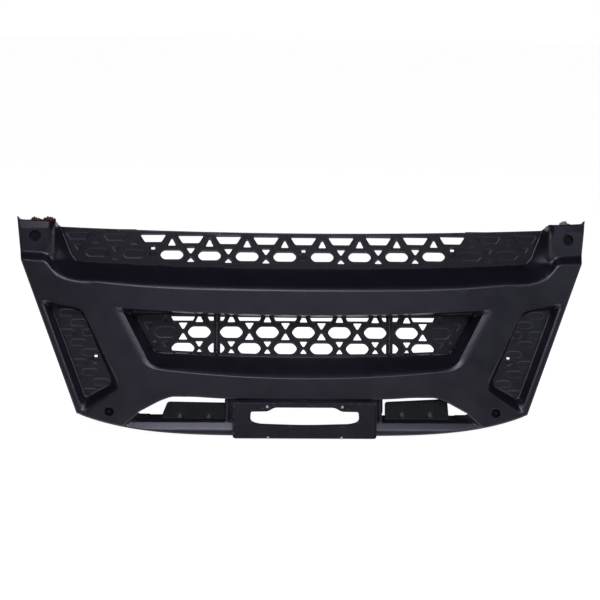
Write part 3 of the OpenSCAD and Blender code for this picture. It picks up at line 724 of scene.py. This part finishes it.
class Insert:
    """Depth of a mesh insert: lips round its open cells, hollows for closed cells, screw seats."""
    LIP, LIP_R, OUTLINE_R, SEAM_UP = 0.9, 1.1, 1.2, 3.0

    def __init__(self, depth, outline, cells, closed, seats, seams=(), hollow=1.5):
        self.depth, self.outline, self.cells, self.closed = depth, outline, cells, closed
        self.seats, self.seams, self.hollow = seats, seams, hollow

    def near(self, p, loops, reach):
        """Distance to the closest loop, exact only within reach of it."""
        out = np.full(len(p), 99.0)
        for loop in loops:
            low, high = loop.min(0) - reach, loop.max(0) + reach
            hit = ((p > low) & (p < high)).all(1)
            if hit.any():
                out[hit] = np.minimum(out[hit], signed(p[hit], loop))
        return out

    def __call__(self, p):
        d = np.full(len(p), self.depth)
        s = self.near(p, self.cells, 8)
        d -= self.LIP * (1 - smooth((s - 2.2) / 1.8))
        d += round_over(s, self.LIP_R)
        d += self.hollow * smooth((2.0 - self.near(p, self.closed, 7)) / 5.0)
        for x, z in self.seats:
            r = np.hypot(p[:, 0] - x, p[:, 1] - z)
            d += 1.6 * smooth((9.6 - r) / 1.2) - 1.4 * smooth((13.5 - r) / 1.5)
        for x in self.seams:
            d -= self.SEAM_UP * (1 - smooth((np.abs(p[:, 0] - x) - 4.5) / 1.5))
        return d + round_over(-signed(p, self.outline), self.OUTLINE_R)

    def bands(self):
        out = [offsets(c, [-4.1, -2.3, -1.1, 1.1, 2.3, 4.1], True, 4) for c in self.cells]
        out += [offsets(c, [-4.1, -2.6, -1.2, 0.2, 1.5, 2.4], True, 4) for c in self.closed]
        for x, z in self.seats:
            out += ring(x, z, (4, 8.3, 9.7, 12, 13.6), 20)
        for x in self.seams:
            z = np.arange(-215, -40, 5.0)
            out += [np.stack([np.full(len(z), x + o), z], 1) for o in (-6, -4.5, 4.5, 6)]
        out.append(offsets(self.outline, [-1.2, -0.5, 0.5, 1.2], True, 6))
        return out

    def sheet(self):
        return Sheet(self.outline, self.cells, self, self.bands(), cell=24, smallest=3, tolerance=0.15,
                     step=4.0, gap=0.9)


def make_insert(insert, name, node, flip=False):
    sheet = insert.sheet()
    obj = (sheet.flipped() if flip else sheet).build(name, INSERT_T, sharp=42)
    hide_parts(node)
    return obj


def make_upper_mesh():
    outline = np.concatenate([
        along(upper_low_z, -800, 800, 41, 1),
        rounded([[812, 142.6], [822, 144], [843, 166], [884, top_z(884) - 3], [874, top_z(874)]],
                [0, 10, 8, 3, 0], False),
        along(top_z, 860, -860, 43),
        rounded([[-874, top_z(874)], [-884, top_z(884) - 3], [-843, 166], [-822, 144], [-812, 142.6]],
                [0, 3, 8, 10, 0], False),
    ])
    cells, closed = upper_cells()
    insert = Insert(UPPER_D, outline, cells, within(closed, outline), UPPER_SCREWS)
    return make_insert(insert, "upper_mesh_insert", "upper_mesh")


def make_lower_meshes():
    """The middle segment, between two seams, and the two ends."""
    top = -47
    limit = SEAM_X - SEAM_BAND
    cells = [c for k in range(-2, 3) for c in column_a(k * LOWER_PITCH)]
    cells += [clipped(c, -limit, limit) for k in (-2.5, -1.5, -0.5, 0.5, 1.5, 2.5)
              for c in column_b(k * LOWER_PITCH)]
    half = SEAM_X - SEAM_GAP
    outline = np.concatenate([along(lower_low_z, -half, half, 31, 1), [[half, top], [-half, top]]])
    centre = Insert(LOWER_D, outline, wide(cells), [], [], (-SEAM_X, SEAM_X))
    out = [make_insert(centre, "lower_mesh_middle", "lower_mesh_centre")]
    start = SEAM_X + SEAM_GAP
    outline = np.concatenate([
        along(lower_low_z, start, 516, 12, 1),
        rounded([[524, -187.6], [532, -186.5], [551, -171], [620, -50], [616, top], [600, top]],
                [0, 8, 10, 3, 3, 0], False),
        [[start, top]],
    ])
    cells = column_a(378) + column_b(437) + [clipped(c, SEAM_X + SEAM_BAND, 640) for c in column_b(305)]
    closed = within(column_a(500) + column_b(563), outline)
    for name, flip in (("right", False), ("left", True)):
        end = Insert(LOWER_D, outline, wide(cells), closed, LOWER_SCREWS, (SEAM_X,))
        out.append(make_insert(end, "lower_mesh_end_" + name, "lower_mesh_" + name, flip))
    return out


def make_side_inserts():
    outline = rounded([[915, -18], [824, -32], [799, -51], [693, -290], [696, -306], [776, -348],
                       [788, -348], [794, -332], [913, -26]],
                      [5, 12, 12, 14, 12, 5, 5, 5, 4])
    row_pitch, pitch = 36, 84
    closed = [shifted(hexagon(64, 25), 690 + pitch * (column + (row % 2) / 2), -46 - row_pitch * row, 6)
              for row in range(9) for column in range(4)]
    closed = [c for c in closed if signed(c.mean(0)[None], outline)[0] < -4
              and np.hypot(*((c.mean(0) - SIDE_SCREW) / [1.6, 1])) > 26]
    out = []
    for name, flip in (("right", False), ("left", True)):
        insert = Insert(SIDE_D, outline, [side_slot], closed, [SIDE_SCREW], hollow=0.8)
        out.append(make_insert(insert, "side_mesh_" + name, "side_insert_" + name, flip))
    return out


# ---- Number plate bracket ----
BRACKET_OUT, BRACKET_T, BRACKET_R = 45.0, 3.0, 2.4
RIM_OUT, RIM_WIDTH = 3.5, 4
SLOT_R, SLOT_RETURN = 2, 7.0
BRACKET = rounded([[-258, -500], [258, -500], [258, -371], [-258, -371]], [11, 11, 5, 5])
SLOT = rounded([
    [-193, -404], [-133, -403], [-108, -389], [108, -389], [133, -403], [193, -404],
    [196, -436], [165, -446], [0, -451], [-165, -446], [-196, -436]],
    [6, 8, 10, 10, 8, 6, 14, 20, 60, 20, 14])
PLATE_HOLES = [(135, -386), (132, -497)]


def place_bracket(x, z, d):
    return lean(x, d - BRACKET_OUT, z)


def bracket_depth(p):
    edge = -signed(p, BRACKET)
    d = -RIM_OUT * (1 - smooth((edge - RIM_WIDTH) / 2.2))
    for x, z in PLATE_HOLES:
        r = np.hypot(np.abs(p[:, 0]) - x, p[:, 1] - z)
        d = np.where(r < 8, np.maximum(d, -RIM_OUT * smooth((r - 5.4) / 1.4)), d)
    slot = signed(p, SLOT)
    d = d + round_over(slot, SLOT_R)
    d = d - (1 - smooth((np.abs(slot - 9) - 1.5) / 1.2))  # a bead, 1 mm high, round the slot
    return d + round_over(edge, BRACKET_R)


def bracket_flange(flat, _):
    return np.where(np.abs(signed(flat, SLOT)) < ON_LOOP, SLOT_RETURN, BRACKET_OUT - 6.0)


def make_bracket():
    bands = [offsets(BRACKET, both((0.6, 1.4, 2.4, 3.8, 4.6, 5.4, 6.4)), True, 6),
             offsets(SLOT, both((0.7, 1.4, 2.2, 6.4, 7.4, 9, 10.6, 11.6)), True, 5)]
    for x, z in PLATE_HOLES:
        for s in (-1, 1):
            bands += ring(s * x, z, (5.2, 6.1, 7.0, 8.2), 18)
    sheet = Sheet(BRACKET, [SLOT], bracket_depth, bands, cell=20, smallest=3, tolerance=0.1, gap=0.8)
    obj = sheet.build("plate_bracket_moulding", BRACKET_T, bracket_flange, place_bracket, 40)
    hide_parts("plate_bracket")
    return obj


# ---- Step plates ----
STEP_D, STEP_LOW, STEP_T, STEP_R, POCKET = 26.0, -430.5, 3.3, 1.5, 2.2
LEFT_PLATE = [[276, STEP_LOW], [276, -376], [282, -370.5], [486, -367.5], [493, -371.5], [511, -416],
              [514, STEP_LOW]]
RIGHT_PLATE = [[294, STEP_LOW], [294, -371], [300, -365], [517, -353.5], [524, -358], [528, -405],
               [531, STEP_LOW]]
LEFT_RIVETS, RIGHT_RIVETS = [(447, -420.5), (343, -421.5)], [(460, -413), (357, -412)]


def make_step_plates():
    """Two pressed plates, each with a round pocket for every rivet."""
    out = []
    for name, flip, corners, pockets in (("right", False, RIGHT_PLATE, RIGHT_RIVETS),
                                         ("left", True, LEFT_PLATE, LEFT_RIVETS)):
        outline = rounded(corners, [3, 4, 4, 5, 5, 12, 3])

        def depth(p):
            d = np.full(len(p), STEP_D)
            for x, z in pockets:
                r = np.hypot(p[:, 0] - x, p[:, 1] - z)
                d += POCKET * smooth((14.5 - r) / 3)
            return d + round_over(-signed(p, outline), STEP_R)

        bands = [c for x, z in pockets for c in ring(x, z, (4, 8, 11, 12.5, 14, 15.5), 28)]
        bands.append(offsets(outline, [-1.5, -0.6, 0.6, 1.5], True, 6))
        sheet = Sheet(outline, [], depth, bands, cell=16, smallest=3, tolerance=0.1, gap=0.9)
        obj = (sheet.flipped() if flip else sheet).build("step_plate_pressing_" + name, STEP_T, sharp=42)
        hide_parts("step_plate_" + name)
        out.append(obj)
    return out


# ---- Screws, rivets ----
def turned(profile, segments=28, cross=0.0, cross_deep=0.0):
    """Lathe of (radius, height) points about the axis to the front, with an optional cross recess."""
    verts, faces = [], []
    angles = np.linspace(0, 2 * math.pi, segments, endpoint=False)
    for r, h in profile:
        for a in angles:
            x, z = r * math.cos(a), r * math.sin(a)
            deep = 0.0
            if cross and r < cross * 2.2 and h > 0.5 and min(abs(x), abs(z)) < cross * 0.42:
                deep = cross_deep * (1 - r / (cross * 2.4))
            verts.append((x, -(h - deep), z))
    rows = len(profile)
    for i in range(rows - 1):
        for k in range(segments):
            a, b = i * segments + k, i * segments + (k + 1) % segments
            faces.append((a, b, b + segments, a + segments))
    faces.append(tuple(range(segments))[::-1])
    faces.append(tuple((rows - 1) * segments + k for k in range(segments)))
    return np.array(verts), faces


def fasteners(name, node, places, shape):
    """One object with the same shape at every (x, y, z), y along the panel's depth."""
    base, base_faces = shape
    verts, faces = [], []
    for n, (x, y, z) in enumerate(places):
        moved = base + [x, y, z]
        verts.append(lean(moved[:, 0], moved[:, 1], moved[:, 2]))
        faces += [tuple(i + n * len(base) for i in f) for f in base_faces]
    mesh = bpy.data.meshes.new(name)
    mesh.from_pydata(np.concatenate(verts).tolist(), [], faces)
    mesh.validate()
    mesh.shade_smooth()
    mesh.set_sharp_from_angle(angle=math.radians(40))
    obj = linked(name, mesh)
    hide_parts(node)
    return obj


def pan_head(radius, height, shank, length):
    crown = [(radius * math.cos(a), height * (0.45 + 0.55 * math.sin(a)))
             for a in np.linspace(0.15, 1.5, 7)]
    return [(shank * 0.5, -length), (shank, -length + 2), (shank, 0), (radius * 0.97, 0),
            (radius, height * 0.12), (radius, height * 0.4)] + crown


def seated(places, d, sunk):
    """Adds to each x and z the y of the bowed sheet at depth d, and the depth of its seat."""
    return [(x, float(bowed(x, d)) + sunk, z) for x, z in places]


def make_fasteners():
    screw = turned(pan_head(radius=5.6, height=3.0, shank=2.9, length=12), 28, 1.6, 1.6)
    lower = [(s * x, z) for s in (-1, 1) for x, z in LOWER_SCREWS]
    side = [(s * SIDE_SCREW[0], SIDE_SCREW[1]) for s in (-1, 1)]
    out = []
    for name, node, d, places in (("upper_screws", "upper_mesh_screws", UPPER_D, UPPER_SCREWS),
                                  ("lower_screws", "lower_mesh_screws", LOWER_D, lower),
                                  ("side_screws", "side_insert_screws", SIDE_D, side)):
        out.append(fasteners(name, node, seated(places, d, 0.2), screw))
    plate = turned(pan_head(radius=4.7, height=2.4, shank=2.4, length=11), 24, 1.4, 1.3)
    out.append(fasteners("plate_bracket_screws", "plate_screws",
                         [(s * x, -BRACKET_OUT + 0.05, z) for s in (-1, 1) for x, z in PLATE_HOLES], plate))
    dome = [(8 * math.cos(a), 0.8 + 2.7 * math.sin(a)) for a in np.linspace(0.2, 1.5, 7)]
    rivet = turned([(5.4, -8), (5.4, -5.2), (2.95, -5), (2.95, 0), (7.8, 0), (8, 0.6)] + dome)
    rivets = [(-x, z) for x, z in LEFT_RIVETS] + RIGHT_RIVETS
    out.append(fasteners("step_plate_domes", "step_plate_rivets", seated(rivets, STEP_D, 1.9), rivet))
    return out


# ---- Foam pads ----
FOAM_D, FOAM_T, FOAM_LOW, FOAM_HIGH, SEED = 57.5, 17, 256, 310, 11


def make_foam():
    """Two blocks of torn foam: a ragged top edge and a lumpy front."""
    out = []
    for side, name in ((-1, "left"), (1, "right")):
        rng = np.random.default_rng(SEED + side)
        x = np.linspace(908, 1000, 24)
        top = 303 + 5 * np.sin(x / 9.0 + side) + rng.uniform(-4, 3, len(x)) - 6 * smooth((x - 985) / 12)
        top = np.minimum(top, FOAM_HIGH)
        if name == "right":
            top -= 22 * (1 - smooth((x - 940) / 14))
        outline = np.concatenate([[[907, FOAM_LOW], [1001, FOAM_LOW]], np.stack([x[::-1], top[::-1]], 1)])
        phase = rng.uniform(0, 6, 6)

        def depth(p):
            u, v = p[:, 0], p[:, 1]
            lumps = np.sin(u / 5.2 + phase[0]) * np.sin(v / 4.1 + phase[1]) * 1.6
            lumps += np.sin(u / 2.3 + phase[2]) * np.sin(v / 2.9 + phase[3]) * 0.9
            edge = np.maximum(-signed(p, outline), 0)
            return FOAM_D + lumps + 3.5 * (1 - smooth(edge / 5))

        grid = np.meshgrid(np.arange(907, 1002, 2.2), np.arange(FOAM_LOW, FOAM_HIGH + 2, 2.2))
        grid = np.stack([g.ravel() for g in grid], 1)
        grid = grid + rng.uniform(-0.6, 0.6, grid.shape)
        sheet = Sheet(outline, [], depth, [grid], cell=30, smallest=20, tolerance=5, step=2.5, gap=1.2)
        obj = (sheet if side > 0 else sheet.flipped()).build("foam_block_" + name, FOAM_T, sharp=70)
        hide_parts("foam_pad_" + name)
        out.append(obj)
    return out


made = {
    "moulded_plastic": [make_panel(), make_bracket()],
    "insert_plastic": [make_upper_mesh()] + make_lower_meshes() + make_side_inserts(),
    "step_plate_paint": make_step_plates(),
    "dark_zinc": make_fasteners(),
    "brown_foam": make_foam(),
}


# ---- Materials ----
def new_material(name, color, roughness, metallic=0.0, specular=0.5):
    mat = bpy.data.materials.new(name)
    mat.use_nodes = True
    shader = mat.node_tree.nodes["Principled BSDF"]
    shader.inputs["Base Color"].default_value = (*color, 1)
    shader.inputs["Roughness"].default_value = roughness
    shader.inputs["Metallic"].default_value = metallic
    shader.inputs["Specular IOR Level"].default_value = specular
    return mat, mat.node_tree, shader


def noise(tree, scale, detail, roughness=0.5):
    """Output of a noise texture in object space."""
    coords = tree.nodes.new("ShaderNodeTexCoord")
    node = tree.nodes.new("ShaderNodeTexNoise")
    node.inputs["Scale"].default_value = scale
    node.inputs["Detail"].default_value = detail
    node.inputs["Roughness"].default_value = roughness
    tree.links.new(coords.outputs["Object"], node.inputs["Vector"])
    return node.outputs["Fac"]


def ramp_between(tree, source, low, high):
    """The middle range of a noise, mapped to low to high."""
    node = tree.nodes.new("ShaderNodeMapRange")
    node.inputs["From Min"].default_value, node.inputs["From Max"].default_value = 0.3, 0.7
    node.inputs["To Min"].default_value, node.inputs["To Max"].default_value = low, high
    tree.links.new(source, node.inputs["Value"])
    return node.outputs["Result"]


def roughen(tree, shader, source, low, high):
    tree.links.new(ramp_between(tree, source, low, high), shader.inputs["Roughness"])


def tinted(tree, shader, factor, dark, light):
    """Base colour between dark and light."""
    mix = tree.nodes.new("ShaderNodeMix")
    mix.data_type = "RGBA"
    mix.inputs["A"].default_value, mix.inputs["B"].default_value = (*dark, 1), (*light, 1)
    tree.links.new(factor, mix.inputs["Factor"])
    tree.links.new(mix.outputs["Result"], shader.inputs["Base Color"])


def bumps(tree, shader, heights, strengths, distances):
    """Bump nodes in a row, each with its own height source."""
    normal = None
    for height, strength, distance in zip(heights, strengths, distances):
        node = tree.nodes.new("ShaderNodeBump")
        node.inputs["Strength"].default_value = strength
        node.inputs["Distance"].default_value = distance
        tree.links.new(height, node.inputs["Height"])
        if normal is not None:
            tree.links.new(normal, node.inputs["Normal"])
        normal = node.outputs["Normal"]
    tree.links.new(normal, shader.inputs["Normal"])


def plastic(name, dark, light, rough_low, rough_high, specular=0.5, grain=0.25):
    mat, tree, shader = new_material(name, dark, rough_low, 0, specular)
    cloud = noise(tree, 3.5, 5, 0.6)
    fine = noise(tree, 900, 2, 0.5)
    wave = noise(tree, 14, 3, 0.5)
    tinted(tree, shader, cloud, dark, light)
    roughen(tree, shader, wave, rough_low, rough_high)
    bumps(tree, shader, [wave, fine], [0.05, grain], [0.002, 0.00035])
    return mat


def painted(name, dark, light, rough_low, rough_high, specular=0.5):
    mat, tree, shader = new_material(name, dark, rough_low, 0, specular)
    cloud, peel = noise(tree, 18, 4), noise(tree, 260, 2)
    tinted(tree, shader, cloud, dark, light)
    roughen(tree, shader, cloud, rough_low, rough_high)
    bumps(tree, shader, [peel], [0.25], [0.0006])
    return mat


def zinc(name, dark, light, rough_low, rough_high):
    mat, tree, shader = new_material(name, dark, rough_low, 0.9, 0.5)
    cloud, scratch = noise(tree, 60, 4), noise(tree, 420, 3)
    tinted(tree, shader, cloud, dark, light)
    roughen(tree, shader, scratch, rough_low, rough_high)
    bumps(tree, shader, [scratch], [0.15], [0.0003])
    return mat


def foam(name, dark, light):
    mat, tree, shader = new_material(name, dark, 0.95, 0, 0.1)
    cells, lumps = noise(tree, 420, 6, 0.75), noise(tree, 60, 4, 0.6)
    tinted(tree, shader, ramp_between(tree, lumps, 0, 1), dark, light)
    roughen(tree, shader, cells, 0.85, 1.0)
    bumps(tree, shader, [lumps, cells], [0.6, 0.9], [0.003, 0.0015])
    return mat


# maker, dark and light colour, and what else each look needs
MATERIALS = {name: row[0](name, *row[1:]) for name, row in {
    "moulded_plastic": (plastic, (0.0030, 0.0028, 0.0050), (0.0044, 0.0041, 0.0070), 0.30, 0.37),
    "insert_plastic": (plastic, (0.0022, 0.0022, 0.0034), (0.0034, 0.0034, 0.0050), 0.36, 0.44, 0.30),
    "step_plate_paint": (painted, (0.0020, 0.0042, 0.0036), (0.0036, 0.0060, 0.0052), 0.36, 0.44, 0.2),
    "carrier_paint": (painted, (0.014, 0.015, 0.017), (0.022, 0.024, 0.026), 0.38, 0.5),
    "dark_zinc": (zinc, (0.012, 0.012, 0.014), (0.022, 0.022, 0.025), 0.35, 0.5),
    "bracket_plastic": (plastic, (0.0020, 0.0018, 0.0034), (0.0030, 0.0027, 0.0048), 0.34, 0.42, 0.34),
    # near-black bolts with little sheen: partly their own black finish, partly painted shade of the deep cups
    # round them
    "cup_black": (painted, (0.0016, 0.0016, 0.0020), (0.0024, 0.0024, 0.0030), 0.5, 0.6, 0.12),
    "brown_foam": (foam, (0.060, 0.020, 0.012), (0.14, 0.052, 0.032)),
    "tan_foam": (foam, (0.17, 0.125, 0.095), (0.36, 0.29, 0.235)),
    "zinc_steel": (zinc, (0.32, 0.33, 0.34), (0.46, 0.46, 0.45), 0.28, 0.42),
    "buffer_rubber": (plastic, (0.012, 0.012, 0.012), (0.018, 0.018, 0.018), 0.6, 0.75, 0.35, 0.5),
    "bush_plastic": (plastic, (0.05, 0.05, 0.052), (0.07, 0.07, 0.072), 0.35, 0.45),
}.items()}

# pieces that look different from the rest of their group
LOOKS = {"foam_block_right": "tan_foam", "side_mesh_left": "moulded_plastic",
         "side_mesh_right": "moulded_plastic", "plate_bracket_moulding": "bracket_plastic",
         "plate_bracket_screws": "zinc_steel", "step_plate_domes": "carrier_paint"}
SLOTS = {part["node"]: part["material_slot"] for part in frame["record"]["subparts"]}
# the bolts in the corner cups are darkened beyond their black finish, painting the shade of the cups into them
SLOTS["carrier_bolts"] = "cup_black"
for node_name, node in frame["nodes"].items():
    material = MATERIALS.get(SLOTS.get(node_name, ""))
    if material is not None:
        node.data.materials.clear()
        node.data.materials.append(material)
for look, objects in made.items():
    for obj in objects:
        obj.data.materials.clear()
        obj.data.materials.append(MATERIALS[LOOKS.get(obj.name, look)])
        "zinc_steel" if look == "dark_zinc" else look
        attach(obj, "panel")


# ---- Floor and light ----
def add_floor():
    low = cad_box[0][2]
    mesh = bpy.data.meshes.new("floor")
    mesh.from_pydata([(-30, -20, low), (30, -20, low), (30, 40, low), (-30, 40, low)], [], [(0, 1, 2, 3)])
    floor = linked("floor", mesh)
    mat, tree, shader = new_material("floor_paint", (0.9, 0.9, 0.9), 0.9, 0, 0.1)
    shader.inputs["Emission Color"].default_value = (1, 1, 1, 1)
    shader.inputs["Emission Strength"].default_value = 0.96
    grain = noise(tree, 40, 2)
    tinted(tree, shader, grain, (0.89, 0.89, 0.89), (0.91, 0.91, 0.91))
    mesh.materials.append(mat)


def area_light(name, at, aim, width, height, power, color):
    light = bpy.data.lights.new(name, "AREA")
    light.shape, light.size, light.size_y = "RECTANGLE", width, height
    light.energy, light.color = power, color
    obj = linked(name, light)
    way = Vector(aim) - Vector(at)
    obj.matrix_world = Matrix.Translation(at) @ way.to_track_quat("-Z", "Y").to_matrix().to_4x4()


def add_world():
    """A white background for the camera, and a faint blue fill for everything else."""
    world = bpy.data.worlds.new("studio")
    scene.world = world
    world.use_nodes = True
    tree = world.node_tree
    tree.nodes["Background"].inputs["Color"].default_value = (0.6, 0.58, 0.85, 1)
    tree.nodes["Background"].inputs["Strength"].default_value = 0.05
    seen = tree.nodes.new("ShaderNodeBackground")
    seen.inputs["Color"].default_value = (1, 1, 1, 1)
    seen.inputs["Strength"].default_value = 1.0
    path, mix = tree.nodes.new("ShaderNodeLightPath"), tree.nodes.new("ShaderNodeMixShader")
    tree.links.new(path.outputs["Is Camera Ray"], mix.inputs["Fac"])
    tree.links.new(tree.nodes["Background"].outputs["Background"], mix.inputs[1])
    tree.links.new(seen.outputs["Background"], mix.inputs[2])
    tree.links.new(mix.outputs["Shader"], tree.nodes["World Output"].inputs["Surface"])


add_floor()
add_world()
for light in (
    # name, place, target, width, height, power, colour
    ("key", (-0.55, -3.0, 3.0), (-0.1, -0.2, -0.25), 2.1, 1.6, 98, (0.80, 0.79, 1)),
    ("key_right", (1.2, -2.9, 2.3), (0.2, -0.2, -0.25), 1.1, 1.4, 28, (0.80, 0.80, 1)),
    ("corner_left", (-2.0, -2.6, 2.4), (-1.0, -0.3, 0.1), 0.8, 0.9, 12, (0.80, 0.79, 1)),
    ("corner_right", (2.0, -2.6, 2.4), (1.0, -0.3, 0.1), 0.6, 0.9, 6, (0.80, 0.79, 1)),
    ("front", (-0.1, -6.0, 1.6), (0, -0.2, -0.3), 5.6, 1.6, 19, (0.72, 0.70, 1)),
    ("side_right", (3.9, -3.2, 1.4), (0.3, -0.2, -0.3), 1.2, 1.4, 10, (0.76, 0.80, 1)),
):
    area_light(*light)
scene.view_settings.view_transform = "Standard"
scene.view_settings.look = "None"
